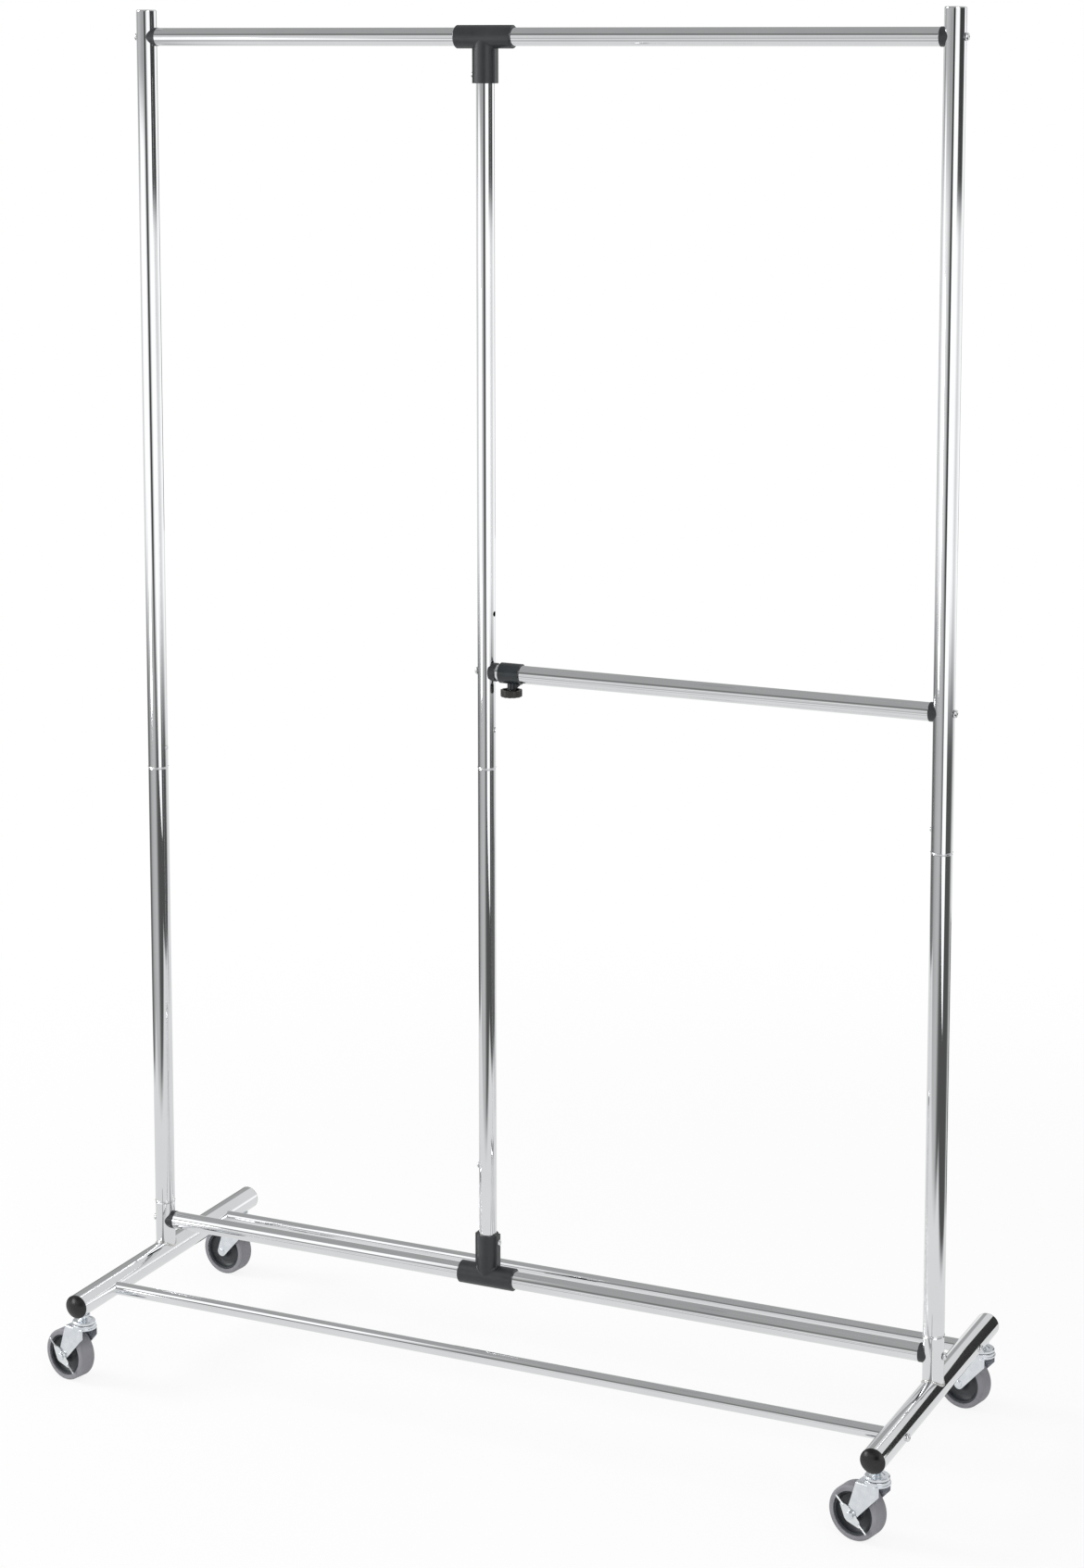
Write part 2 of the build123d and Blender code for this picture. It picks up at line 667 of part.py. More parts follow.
with BuildPart() as fork:
    with BuildSketch(Plane.XZ):
        with Locations((-caster_trail, axle_height)):
            Circle(fork_leg_tip)
        with BuildLine():
            back = fork_shoulder_back - caster_trail
            front = fork_head_radius
            Polyline(
                (back, fork_top - fork_shoulder_height),
                (back, fork_top),
                (front, fork_top),
                (front, fork_top - fork_shoulder_height),
                close=True,
            )
        make_face()
        make_hull()
    extrude(amount=leg_outside, both=True)
    fillet(fork.faces().sort_by(Axis.Z)[-1].edges().filter_by(Axis.X), radius=fork_bend)
    with BuildSketch(Plane.XY):
        Circle(fork_head_radius)
        with Locations((-caster_trail, 0)):
            Rectangle(2 * fork_leg_tip, 2 * leg_outside)
        make_hull()
    extrude(amount=fork_top, mode=Mode.INTERSECT)
    with BuildSketch(Plane.XY.offset(fork_under)):
        Rectangle(4 * caster_trail + 2 * fork_leg_tip, 2 * leg_inside)
    extrude(amount=-fork_under, mode=Mode.SUBTRACT)
    with BuildSketch(Plane.XY.offset(fork_under)):
        Circle(race_diameter / 2)
    extrude(amount=fork_sheet + race_height)
    fillet(fork.edges().filter_by(GeomType.CIRCLE).group_by(Axis.Z)[-1], radius=race_edge)
    with Locations((0, 0, ball_height)):
        Torus(ball_circle / 2, groove_radius, mode=Mode.SUBTRACT)
    Cylinder(kingpin_bore, 3 * fork_top, mode=Mode.SUBTRACT)
    with Locations((-caster_trail, 0, axle_height)):
        Cylinder(axle_diameter / 2 + slip_fit, 3 * leg_outside, rotation=(90, 0, 0), mode=Mode.SUBTRACT)

kingpin_top = fork_under - face_gap
foot_bore = foot_diameter / 2 - foot_wall
socket_top = foot_height + (foot_bore ** 2 - socket_radius ** 2) ** 0.5 - face_gap
stem_top = socket_top - stem_headroom

with BuildPart() as stem:
    with BuildSketch(Plane.XZ):
        with BuildLine():
            Polyline(
                (0, kingpin_top - kingpin_head_height),
                (kingpin_head_diameter / 2, kingpin_top - kingpin_head_height),
                (kingpin_head_diameter / 2, kingpin_top),
                (kingpin_diameter / 2, kingpin_top),
                (kingpin_diameter / 2, upper_race_under),
                (upper_race_diameter / 2, upper_race_under),
                (upper_race_diameter / 2, upper_race_top - race_edge),
                (upper_race_diameter / 2 - race_edge, upper_race_top),
                (neck_cone_diameter / 2, upper_race_top),
                (neck_diameter / 2, upper_race_top + neck_cone_height),
                (neck_diameter / 2, neck_top),
                (stem_diameter / 2, neck_top),
                (stem_diameter / 2, stem_top - 3 * stem_groove),
                (stem_diameter / 2 - stem_groove, stem_top - 2 * stem_groove),
                (stem_diameter / 2 - stem_groove, stem_top - stem_groove),
                (stem_diameter / 2 - 2 * stem_groove, stem_top),
                (0, stem_top),
                close=True,
            )
        make_face()
    revolve(axis=Axis.Z)
    with Locations((0, 0, ball_height)):
        Torus(ball_circle / 2, groove_radius, mode=Mode.SUBTRACT)

with BuildPart() as balls:
    with Locations((0, 0, ball_height)):
        with PolarLocations(ball_circle / 2, ball_count):
            Sphere(ball_radius)

with BuildPart() as socket:
    with BuildSketch(Plane.XZ):
        with BuildLine():
            Polyline(
                (stem_diameter / 2 + running_fit, neck_top),
                (socket_flange_diameter / 2, neck_top),
                (socket_flange_diameter / 2, foot_under),
                (socket_radius, foot_under),
                (socket_radius, socket_top),
                (stem_diameter / 2 + running_fit, socket_top),
                close=True,
            )
        make_face()
    revolve(axis=Axis.Z)

# The wheel turns about Y on its own axis here, and is set on the axle when the caster is placed.
hub_radius = wheel_diameter / 2 - tread_depth
hub_bore = axle_diameter / 2 + running_fit
boss_end = leg_inside - face_gap

with BuildPart() as tread:
    with BuildSketch(Plane.XZ.offset(-wheel_width / 2)):
        ring(wheel_diameter / 2, hub_radius)
    extrude(amount=wheel_width)
    outer_edges = tread.edges().filter_by(GeomType.CIRCLE).group_by(SortBy.RADIUS)[-1]
    fillet(outer_edges, radius=tread_shoulder)

with BuildPart() as hub:
    with BuildSketch(Plane.XY):
        with BuildLine():
            Polyline(
                (hub_bore, -boss_end),
                (hub_boss_diameter / 2, -boss_end),
                (hub_boss_diameter / 2, -hub_web / 2),
                (hub_radius - hub_rim, -hub_web / 2),
                (hub_radius - hub_rim, -hub_rim_width / 2),
                (hub_radius, -hub_rim_width / 2),
                (hub_radius, hub_rim_width / 2),
                (hub_radius - hub_rim, hub_rim_width / 2),
                (hub_radius - hub_rim, hub_web / 2),
                (hub_boss_diameter / 2, hub_web / 2),
                (hub_boss_diameter / 2, boss_end),
                (hub_bore, boss_end),
                close=True,
            )
        section = make_face()
        corners = section.vertices().filter_by(lambda corner: abs(corner.Y) < hub_rim_width / 2)
        fillet(corners, radius=hub_dish)
    revolve(axis=Axis.Y)


def axle(near_end):
    """An axle rivet along Y, with a formed head outside each leg; near_end is its -Y seat."""
    with BuildPart() as piece:
        with BuildSketch(Plane.XZ.offset(-leg_outside)):
            Circle(axle_diameter / 2)
        extrude(amount=leg_outside + near_end)
        for plane, depth in ((Plane.XZ.offset(near_end), axle_head_height),
                             (Plane.XZ.offset(-leg_outside), -axle_head_height)):
            with BuildSketch(plane):
                Circle(axle_head_diameter / 2)
            extrude(amount=depth)
        rims = piece.edges().filter_by(GeomType.CIRCLE).group_by(Axis.Y)
        fillet(rims[0] + rims[-1], radius=head_round * axle_head_height)
    return piece.part


# The side brake is a rocker pressed from sheet, with a toe tab twisted outwards at each end.
brake_middle = Plane.XZ.offset(brake_back + brake_sheet / 2)

with BuildPart() as brake:
    with BuildSketch(Plane.XZ.offset(brake_back)):
        Circle(brake_depth)
        with Locations((brake_body_length / 2, 0), (-brake_body_length / 2, 0)):
            Circle(brake_tip_width / 2)
        make_hull()
        with Locations((0, brake_crown)):
            Rectangle(2 * brake_body_length, 2 * brake_depth, align=(Align.CENTER, Align.MIN),
                      mode=Mode.SUBTRACT)
    extrude(amount=brake_sheet)
    for turn in (0, 180):
        tab_plane = brake_middle.rotated((brake_tab_twist, 0, turn))
        with BuildSketch(tab_plane):
            with Locations((brake_body_length / 2 + brake_tab_length / 2, 0)):
                RectangleRounded(brake_tab_length + brake_tip_width, brake_tab_width, brake_tab_corner)
        extrude(amount=brake_sheet / 2, both=True)
    with BuildSketch(Plane.XZ.offset(brake_back)):
        Circle(brake_boss_diameter / 2)
    extrude(amount=brake_sheet + brake_boss_height, taper=brake_boss_taper)
    Cylinder(axle_diameter / 2 + running_fit, 4 * brake_front, rotation=(90, 0, 0), mode=Mode.SUBTRACT)

rocker = brake.part.moved(Location((-caster_trail, 0, axle_height), (0, -brake_slope, 0)))
wheel_seat = Location((-caster_trail, 0, axle_height))
braked_axle = axle(brake_front + brake_boss_height + face_gap).moved(wheel_seat)
plain_axle = axle(leg_outside).moved(wheel_seat)

all_balls, sockets = [], []
for corner, angle in swivel_angles.items():
    end, side = corner.split("_")
    x = right_post_x if side == "right" else -right_post_x
    y = caster_spacing / 2 if end == "back" else -caster_spacing / 2
    seat = Location((x, y, 0), (0, 0, angle))
    keep(stem.part.moved(seat), f"{corner}_stem")
    keep(fork.part.moved(seat), f"{corner}_fork")
    keep((braked_axle if end == "front" else plain_axle).moved(seat), f"{corner}_axle")
    keep(hub.part.moved(seat * wheel_seat), f"{corner}_hub")
    keep(tread.part.moved(seat * wheel_seat), f"{corner}_tread")
    if end == "front":
        keep(rocker.moved(seat), f"{corner}_brake")
    all_balls += [ball.moved(seat) for ball in balls.part.solids()]
    sockets.append(socket.part.moved(seat))
keep(Compound(children=all_balls), "race_balls")
keep(Compound(children=sockets), "caster_sockets")

print(len(names), "nodes")
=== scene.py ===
import math

import bmesh
import bpy
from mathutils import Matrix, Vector


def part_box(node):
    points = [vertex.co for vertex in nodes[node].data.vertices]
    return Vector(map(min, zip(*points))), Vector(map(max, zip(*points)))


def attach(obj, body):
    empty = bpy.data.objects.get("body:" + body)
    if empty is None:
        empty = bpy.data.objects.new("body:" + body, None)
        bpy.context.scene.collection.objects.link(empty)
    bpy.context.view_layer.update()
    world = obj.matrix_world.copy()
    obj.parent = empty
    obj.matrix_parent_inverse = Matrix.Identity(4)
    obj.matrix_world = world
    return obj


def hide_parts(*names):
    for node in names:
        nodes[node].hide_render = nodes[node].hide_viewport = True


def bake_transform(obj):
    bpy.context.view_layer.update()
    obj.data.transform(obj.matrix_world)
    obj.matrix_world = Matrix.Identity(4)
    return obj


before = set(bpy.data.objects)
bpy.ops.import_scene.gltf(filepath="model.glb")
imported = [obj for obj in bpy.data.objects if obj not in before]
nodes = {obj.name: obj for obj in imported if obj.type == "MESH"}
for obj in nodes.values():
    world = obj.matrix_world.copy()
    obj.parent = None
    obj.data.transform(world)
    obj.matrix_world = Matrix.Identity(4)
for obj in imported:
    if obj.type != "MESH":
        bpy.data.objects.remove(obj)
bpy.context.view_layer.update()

scene = bpy.context.scene

# ------------------------------------------------------------------ paper floor
# The rack stands on seamless white paper in a product studio. The paper is matt, and carries
# only a soft shadow under the casters.
white = (1, 1, 1, 1)
paper_width = 14.0
paper_colour = (0.95, 0.95, 0.95, 1)
paper_own_light = 0.86  # share of the paper under the rack that is lit evenly from behind
paper_fades_out = (0.9, 2.2)  # distances over which that share rises to all of it
sheet_light = 0.80
sheet_left, sheet_right, sheet_side_fade = -1.60, 1.22, 0.10
sheet_front_fade = (-1.10, -0.80)


def add(tree, kind, inputs=None, **settings):
    """One shader node. An input is a plain value, or another node's output socket."""
    made = tree.nodes.new(kind)
    for name, value in settings.items():
        setattr(made, name, value)
    for name, value in (inputs or {}).items():
        if isinstance(value, bpy.types.NodeSocket):
            tree.links.new(value, made.inputs[name])
        else:
            made.inputs[name].default_value = value
    return made


def maths(tree, operation, *values):
    """The result of one sum on numbers or sockets."""
    return add(tree, "ShaderNodeMath", dict(enumerate(values)), operation=operation).outputs[0]


def rise(tree, value, start, end, low=0.0, high=1.0):
    """A smooth step of value: low at start, high at end."""
    ends = {"Value": value, "From Min": start, "From Max": end, "To Min": low, "To Max": high}
    return add(tree, "ShaderNodeMapRange", ends, interpolation_type="SMOOTHSTEP").outputs[0]


def band(tree, value, start, end, soft):
    """1 between start and end, falling smoothly to 0 outside them."""
    return maths(tree, "MULTIPLY", rise(tree, value, start - soft, start + soft),
                 rise(tree, value, end - soft, end + soft, 1.0, 0.0))


def empty_material(name):
    """A new material with nothing in its tree."""
    made = bpy.data.materials.new(name)
    made.use_nodes = True
    made.node_tree.nodes.clear()
    return made, made.node_tree


def flat_sheet(name, corners, made):
    """One flat sheet of the studio, which isn't part of the rack."""
    mesh = bpy.data.meshes.new(name)
    mesh.from_pydata(corners, [], [(0, 1, 2, 3)])
    mesh.materials.append(made)
    sheet = bpy.data.objects.new(name, mesh)
    scene.collection.objects.link(sheet)
    return sheet


# To the eye the paper is white. Seen in the chrome, only the lit sheet under the rack is, and
# the studio starts where it ends.
paper_white, tree = empty_material("paper_white")
place = add(tree, "ShaderNodeTexCoord").outputs["Object"]
spot = add(tree, "ShaderNodeSeparateXYZ", {0: place}).outputs
away = add(tree, "ShaderNodeVectorMath", {0: place}, operation="LENGTH").outputs["Value"]
ray = add(tree, "ShaderNodeLightPath").outputs
matt = add(tree, "ShaderNodeBsdfDiffuse", {"Color": paper_colour})
glow = add(tree, "ShaderNodeEmission", {"Color": white, "Strength": 1.0})
own_light = maths(tree, "MULTIPLY", ray["Is Camera Ray"],
                  rise(tree, away, *paper_fades_out, paper_own_light, 1.0))
seen = add(tree, "ShaderNodeMixShader", {0: own_light, 1: matt.outputs[0], 2: glow.outputs[0]})
clear = add(tree, "ShaderNodeBsdfTransparent")
sheet_glow = add(tree, "ShaderNodeEmission", {"Color": white, "Strength": sheet_light})
on_sheet = maths(tree, "MULTIPLY",
                 band(tree, spot["X"], sheet_left, sheet_right, sheet_side_fade),
                 rise(tree, spot["Y"], *sheet_front_fade))
mirrored = add(tree, "ShaderNodeMixShader",
               {0: on_sheet, 1: clear.outputs[0], 2: sheet_glow.outputs[0]})
look = add(tree, "ShaderNodeMixShader",
           {0: ray["Is Glossy Ray"], 1: seen.outputs[0], 2: mirrored.outputs[0]})
add(tree, "ShaderNodeOutputMaterial", {"Surface": look.outputs[0]})

half = paper_width / 2
flat_sheet("paper_floor", [(-half, -half, 0), (half, -half, 0), (half, half, 0), (-half, half, 0)],
           paper_white)

# ------------------------------------------------------------------ panel, screen and flag
# A lit panel leans over the left-hand end from the front, a white screen stands on the floor along
# the right-hand side, and a small black flag stands behind the right foot. They are cloth on
# frames, and only the chrome shows them.
panel_light = 1.24
panel_left, panel_right = -3.0, -0.45
panel_foot, panel_head = (-1.18, 0.66), (-0.60, 1.66)  # (y, z) of its lower and upper edges
panel_right_fade = (-0.85, -0.50)
panel_lit_low, panel_lit_high, panel_edge_fade = 0.78, 1.58, 0.08
screen_light = 1.22
screen_near, screen_far = (1.40, -2.95), (2.00, -0.85)  # (x, y) of its ends
screen_high = 2.1
screen_top_fade = (1.6, 1.9)
screen_near_fade, screen_far_fade = (-2.92, -2.55), (-1.05, -0.88)
flag_left, flag_right, flag_back, flag_high = 0.66, 1.10, 0.75, 0.44
flag_colour = (0.01, 0.01, 0.01, 1)


def in_chrome_only(card):
    """Hide a card from all but the chrome."""
    card.visible_camera = card.visible_diffuse = card.visible_shadow = False


def lit_cloth(name, light, lit_part):
    """Cloth that gives light over its lit part, and is clear outside it."""
    made, tree = empty_material(name)
    spot = add(tree, "ShaderNodeSeparateXYZ",
               {0: add(tree, "ShaderNodeTexCoord").outputs["Object"]}).outputs
    clear = add(tree, "ShaderNodeBsdfTransparent")
    glow = add(tree, "ShaderNodeEmission", {"Color": white, "Strength": light})
    look = add(tree, "ShaderNodeMixShader",
               {0: lit_part(tree, spot), 1: clear.outputs[0], 2: glow.outputs[0]})
    add(tree, "ShaderNodeOutputMaterial", {"Surface": look.outputs[0]})
    return made


def lit_part_of_panel(tree, spot):
    """A strip along the panel, which fades out at its right-hand end."""
    return maths(tree, "MULTIPLY", rise(tree, spot["X"], *panel_right_fade, 1.0, 0.0),
                 band(tree, spot["Z"], panel_lit_low, panel_lit_high, panel_edge_fade))


def lit_part_of_screen(tree, spot):
    """All of the screen but its soft top and ends."""
    along = maths(tree, "MULTIPLY", rise(tree, spot["Y"], *screen_near_fade),
                  rise(tree, spot["Y"], *screen_far_fade, 1.0, 0.0))
    return maths(tree, "MULTIPLY", rise(tree, spot["Z"], *screen_top_fade, 1.0, 0.0), along)


def black_cloth():
    """Cloth that gives back almost no light."""
    made = bpy.data.materials.new("flag_cloth")
    made.use_nodes = True
    made.node_tree.nodes["Principled BSDF"].inputs["Base Color"].default_value = flag_colour
    return made


in_chrome_only(flat_sheet(
    "lit_panel", [(panel_left, *panel_foot), (panel_right, *panel_foot),
                  (panel_right, *panel_head), (panel_left, *panel_head)],
    lit_cloth("panel_white", panel_light, lit_part_of_panel)))
in_chrome_only(flat_sheet(
    "white_screen", [(*screen_near, 0), (*screen_far, 0),
                     (*screen_far, screen_high), (*screen_near, screen_high)],
    lit_cloth("screen_cloth", screen_light, lit_part_of_screen)))
in_chrome_only(flat_sheet(
    "black_flag", [(flag_left, flag_back, 0.0), (flag_right, flag_back, 0.0),
                   (flag_right, flag_back, flag_high), (flag_left, flag_back, flag_high)],
    black_cloth()))

# ------------------------------------------------------------------ the rest of the studio
# What else the chrome reflects: a dark studio floor, bright walls with somebody standing in front
# of them, and a dim ceiling. It is white to the eye and plain to matt surfaces.
# Heights are sines above the horizon, and bearings are degrees from -Y towards +X.
ambient_level = 0.62
wall_levels = ((-180, 0.14), (-171, 0.14), (-165, 1.15), (-153, 1.10), (-147, 0.22),
               (-138, 0.20), (-131, 0.92), (-106, 0.66), (-92, 0.92), (-74, 1.16),
               (-55, 1.06), (-42, 0.96), (-25, 0.84), (-12, 0.60), (-5, 0.44), (1, 0.12),
               (5, 0.04), (12, 0.04), (17, 0.18), (23, 0.60), (31, 1.02), (42, 1.22),
               (74, 1.20), (90, 0.90), (104, 0.78), (120, 0.95), (140, 1.15), (166, 1.20),
               (172, 0.14), (180, 0.14))
floor_levels = ((-180, 0.95), (-140, 0.60), (-118, 0.16), (-96, 0.13), (-78, 0.26),
                (-60, 0.46), (-30, 0.54), (-10, 0.55), (1, 0.42), (9, 0.22), (18, 0.11),
                (32, 0.09), (108, 0.09), (122, 0.20), (136, 0.70), (160, 0.95), (180, 0.95))
wall_foot_left, wall_foot_right = -0.175, -0.192  # heights where the floor meets the wall
wall_foot_turns = (5.0, 25.0)  # bearings between which one height becomes the other
wall_foot_soft = 0.03
dusk_share = 0.5  # of the light taken from the upper wall on the left
dusk_starts = (-0.06, -0.02)
dusk_from, dusk_to, dusk_soft = -110.0, -12.0, 8.0
dark_wall_level = 0.06  # the upper wall on the right is black
dark_wall_starts = (-0.062, -0.042)
dark_wall_from, dark_wall_to, dark_wall_soft = 62.0, 124.0, 7.0
ceiling_level, backdrop_top_level = 0.40, 0.76
ceiling_starts = (0.04, 0.22)
backdrop_right, backdrop_left = (118.0, 136.0), (-168.0, -162.0)  # bearings where it starts
doorway_level = 0.88  # a bright doorway in front, which the fronts of the rails show
doorway_from, doorway_to, doorway_soft = -38.0, -8.0, 5.0
doorway_head = (0.005, 0.03), (0.14, 0.30)  # heights where its upper light comes in and goes
doorway_foot, doorway_foot_soft = (-0.56, -0.41), 0.04
lintel_level = 0.20
lintel_low, lintel_high, lintel_soft = 0.34, 0.58, 0.07


def round_the_room(tree, bearing, table):
    """Light level read off a table of (bearing, level), as a ramp right round the room."""
    ramp = add(tree, "ShaderNodeValToRGB",
               {"Fac": maths(tree, "MULTIPLY_ADD", bearing, 1 / 360, 0.5)})
    stops = ramp.color_ramp.elements
    for direction, _level in table[1:-1]:
        stops.new(direction / 360 + 0.5)
    for stop, (direction, level) in zip(stops, table):
        stop.position = direction / 360 + 0.5
        stop.color = (level, level, level, 1)
    return ramp.outputs["Color"]


def blend(tree, share, first, second):
    """first where share is 0, second where it is 1."""
    return add(tree, "ShaderNodeMix", {0: share, 2: first, 3: second}).outputs[0]


room = bpy.data.worlds.new("white_studio")
room.use_nodes = True
scene.world = room
tree = room.node_tree
tree.nodes.clear()
toward = add(tree, "ShaderNodeSeparateXYZ",
             {0: add(tree, "ShaderNodeTexCoord").outputs["Generated"]}).outputs
height = toward["Z"]
bearing = maths(tree, "DEGREES", maths(tree, "ARCTAN2", toward["X"],
                                       maths(tree, "MULTIPLY", toward["Y"], -1.0)))

walls = round_the_room(tree, bearing, wall_levels)
studio_floor = round_the_room(tree, bearing, floor_levels)
wall_foot = blend(tree, rise(tree, bearing, *wall_foot_turns), wall_foot_left, wall_foot_right)
above_foot = rise(tree, maths(tree, "SUBTRACT", height, wall_foot),
                  -wall_foot_soft, wall_foot_soft)
level = blend(tree, above_foot, studio_floor, walls)

left_dusk = maths(tree, "MULTIPLY", rise(tree, height, *dusk_starts),
                  maths(tree, "MULTIPLY", band(tree, bearing, dusk_from, dusk_to, dusk_soft),
                        dusk_share))
level = maths(tree, "MULTIPLY", level, maths(tree, "SUBTRACT", 1.0, left_dusk))

dark_wall = maths(tree, "MULTIPLY", rise(tree, height, *dark_wall_starts),
                  band(tree, bearing, dark_wall_from, dark_wall_to, dark_wall_soft))
level = blend(tree, dark_wall, level, dark_wall_level)

behind = maths(tree, "ADD", rise(tree, bearing, *backdrop_right),
               rise(tree, bearing, *backdrop_left, 1.0, 0.0))
ceiling = blend(tree, behind, ceiling_level, backdrop_top_level)
level = blend(tree, rise(tree, height, *ceiling_starts), level, ceiling)

doorway = band(tree, bearing, doorway_from, doorway_to, doorway_soft)
lintel = maths(tree, "MULTIPLY", doorway,
               band(tree, height, lintel_low, lintel_high, lintel_soft))
level = blend(tree, lintel, level, lintel_level)
light_comes, light_goes = doorway_head
head_high = maths(tree, "MULTIPLY", rise(tree, height, *light_comes),
                  rise(tree, height, *light_goes, 1.0, 0.0))
knee_high = band(tree, height, *doorway_foot, doorway_foot_soft)
level = blend(tree, maths(tree, "MULTIPLY", doorway, maths(tree, "ADD", head_high, knee_high)),
              level, doorway_level)

ray = add(tree, "ShaderNodeLightPath").outputs
level = blend(tree, ray["Is Glossy Ray"], ambient_level, level)
level = blend(tree, ray["Is Camera Ray"], level, 1.0)
sky = add(tree, "ShaderNodeBackground", {"Color": white, "Strength": level})
add(tree, "ShaderNodeOutputWorld", {"Surface": sky.outputs[0]})

# ------------------------------------------------------------------ lamps
# Three soft boxes: a large key up on the left, a weaker fill from the front right, and a small
# low one that lights the casters from the left.


def soft_box(name, place, size, watts, aim=(0.0, 0.0, 0.7)):
    """A square area lamp that looks at aim."""
    lamp = bpy.data.lights.new(name, "AREA")
    lamp.size = size
    lamp.energy = watts
    box = bpy.data.objects.new(name, lamp)
    box.location = place
    box.rotation_euler = (Vector(aim) - Vector(place)).to_track_quat("-Z", "Y").to_euler()
    scene.collection.objects.link(box)


soft_box("key_box", place=(-4.0, -0.9, 2.8), size=1.6, watts=90.0)
soft_box("fill_box", place=(2.6, -2.6, 3.2), size=2.0, watts=34.0)
soft_box("low_box", place=(-2.6, -2.8, 0.6), size=1.0, watts=14.0, aim=(0.0, 0.0, 0.2))

# ------------------------------------------------------------------ camera
# It stands at about eye height in front of the right-hand end, turned to the left and tilted
# down a little, with its lens shifted down as on a view camera.
eye_place = (1.6485, -3.4964, 1.6843)
tilt_down, turn_left = 7.596, 24.993  # degrees

camera_data = bpy.data.cameras.new("camera")
camera_data.lens = 74.338
camera_data.sensor_width = 36.0
camera_data.shift_y = -0.2
camera_data.clip_end = 60.0
camera = bpy.data.objects.new("camera", camera_data)
camera.location = eye_place
camera.rotation_euler = (math.radians(90.0 - tilt_down), 0.0, math.radians(turn_left))
scene.collection.objects.link(camera)
scene.camera = camera
scene.view_settings.view_transform = "Standard"

# ------------------------------------------------------------------ chrome tubes
# Every tube is drawn steel, bent or cut to length and chrome plated: a bright mirror with fine
# lines along its length from drawing, and faint cloudy patches from polishing.
lines_per_metre, patches_per_metre = 420.0, 9.0
line_depth = 0.0000025
line_roughness, patch_roughness = (0.015, 0.045), (0.0, 0.025)


def finish(name):
    """A new material with its tree, its Principled shader and the object's own coordinates."""
    made = bpy.data.materials.new(name)
    made.use_nodes = True
    tree = made.node_tree
    shader = tree.nodes["Principled BSDF"]
    return made, tree, shader, add(tree, "ShaderNodeTexCoord").outputs["Object"]


def clouds(tree, place, scale, detail=3.0, stretch=(1, 1, 1)):
    """Cloudy variation from 0 to 1, stretched along an axis by a smaller number there."""
    spread = add(tree, "ShaderNodeMapping", {"Vector": place, "Scale": stretch}).outputs[0]
    return add(tree, "ShaderNodeTexNoise",
               {"Vector": spread, "Scale": scale, "Detail": detail}).outputs["Fac"]


def between(tree, amount, low, high):
    """Turn cloudy variation, which seldom leaves 0.3 to 0.7, into a number from low to high."""
    ends = {"Value": amount, "From Min": 0.3, "From Max": 0.7, "To Min": low, "To Max": high}
    return add(tree, "ShaderNodeMapRange", ends).outputs[0]


def tint(tree, amount, first, second):
    """Blend two colours by cloudy variation."""
    share = between(tree, amount, 0.0, 1.0)
    mixed = add(tree, "ShaderNodeMix", {0: share, 6: (*first, 1), 7: (*second, 1)},
                data_type="RGBA")
    return mixed.outputs[2]


def set_inputs(tree, shader, inputs):
    """Give the shader its values and linked sockets."""
    for name, value in inputs.items():
        if isinstance(value, bpy.types.NodeSocket):
            tree.links.new(value, shader.inputs[name])
        else:
            shader.inputs[name].default_value = value


def relief(tree, height, depth, strength):
    """Bump of a given depth in metres."""
    return add(tree, "ShaderNodeBump",
               {"Height": height, "Distance": depth, "Strength": strength}).outputs[0]


def chrome(name, stretch):
    """Chrome plate on drawn tube; stretch is small along the tube's own axis."""
    made, tree, shader, place = finish(name)
    drawn = clouds(tree, place, lines_per_metre, 2.0, stretch)
    patches = clouds(tree, place, patches_per_metre, 4.0)
    set_inputs(tree, shader, {
        "Base Color": tint(tree, patches, (0.79, 0.80, 0.81), (0.84, 0.85, 0.86)),
        "Metallic": 1.0,
        "Roughness": maths(tree, "ADD", between(tree, drawn, *line_roughness),
                           between(tree, patches, *patch_roughness)),
        "Normal": relief(tree, drawn, line_depth, 0.6),
    })
    return made


def dress(material, *names):
    """Give CAD nodes this material in every slot."""
    for name in names:
        for slot in nodes[name].material_slots:
            slot.material = material


chrome_along_x = chrome("chrome_along_x", (0.01, 1, 1))
chrome_along_y = chrome("chrome_along_y", (1, 0.01, 1))
chrome_along_z = chrome("chrome_along_z", (1, 1, 0.01))

dress(chrome_along_y, "left_foot_tube", "right_foot_tube")
dress(chrome_along_z, "left_foot_stub", "right_foot_stub", "left_lower_post", "right_lower_post",
      "left_upper_post", "right_upper_post", "post_caps", "divider_lower_tube",
      "divider_upper_tube")
dress(chrome_along_x, "top_rail", "base_rail", "front_shoe_rail", "back_shoe_rail",
      "mid_rail_outer_tube", "mid_rail_inner_tube")

# ------------------------------------------------------------------ welds and tube ends
# Each stub is welded to its foot tube before plating, so a rippled bead of steel runs round the
# joint. Where one tube is pushed over the next, its end is rolled to a small rounded lip.
foot_low, foot_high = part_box("right_foot_tube")
foot_radius = (foot_high[0] - foot_low[0]) / 2
foot_axis = foot_low[2] + foot_radius
post_low, post_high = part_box("right_lower_post")
post_radius = (post_high[0] - post_low[0]) / 2
post_axis = post_low[0] + post_radius
bead_radius = 0.0014
bead_stands_off = 0.0001  # from the faces of both tubes to the middle of the bead
bead_ripples, points_per_ripple = 30, 8
ripple_swell, slow_swell, slow_swells = 0.03, 0.06, 5
waves_per_metre, wave_depth = 500.0, 0.00006
lip_radius = 0.0007
lip_sunk = 0.0001  # its middle is this far inside the face of the tube
lip_points = 96
sides = (("left", -1), ("right", 1))


